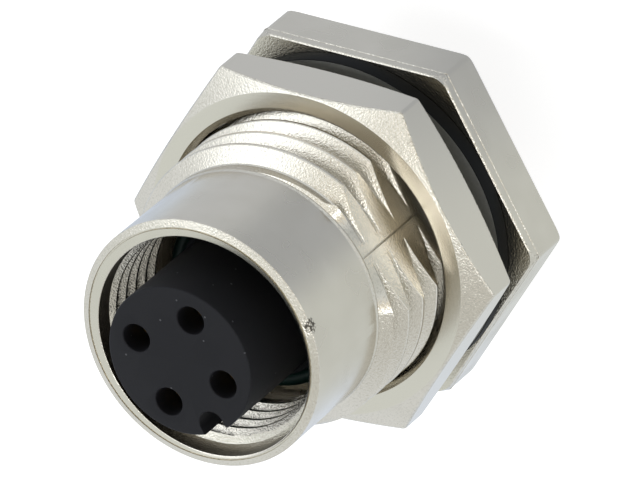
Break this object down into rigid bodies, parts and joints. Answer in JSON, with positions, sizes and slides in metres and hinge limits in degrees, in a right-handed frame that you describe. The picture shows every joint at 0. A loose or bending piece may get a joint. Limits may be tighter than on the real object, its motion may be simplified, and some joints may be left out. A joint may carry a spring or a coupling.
{
  "type": "circular connector",
  "caption": "Panel-mount circular connector: hexagonal flange, threaded barrel with flats, lock nut, gasket, and a keyed socket for pin contacts.",
  "frame": {"origin": "the barrel's axis at the flange's front face, where the gasket sits", "axes": "+Z along the barrel's axis, towards the mating plug; +X through a corner of the hexagonal flange, opposite the key notch; the barrel's two flats face +Y and -Y"},
  "size_m": [0.0218, 0.019, 0.0269],
  "materials": {
    "nickel_plate": "satin nickel plate on a cast body",
    "black_rubber": "matt rubber",
    "dark_plastic": "matt moulded plastic",
    "green_rubber": "matt rubber",
    "gold_plate": "thin gold plate"
  },
  "bodies": {
    "connector_body": {"shell": "nickel_plate", "panel_gasket": "black_rubber", "contact_insert": "dark_plastic", "face_seal": "green_rubber", "insert_o_ring": "black_rubber", "rear_holder": "dark_plastic", "socket_contact_1": "gold_plate", "socket_contact_2": "gold_plate", "socket_contact_3": "gold_plate", "socket_contact_4": "gold_plate"},
    "lock_nut": {"hex_nut": "nickel_plate"}
  },
  "joints": [
    {"name": "nut_travel", "type": "slide", "parent": "connector_body", "child": "lock_nut", "axis": [0, 0, 1], "range_m": [-0.00105, 0.0165]}
  ]
}
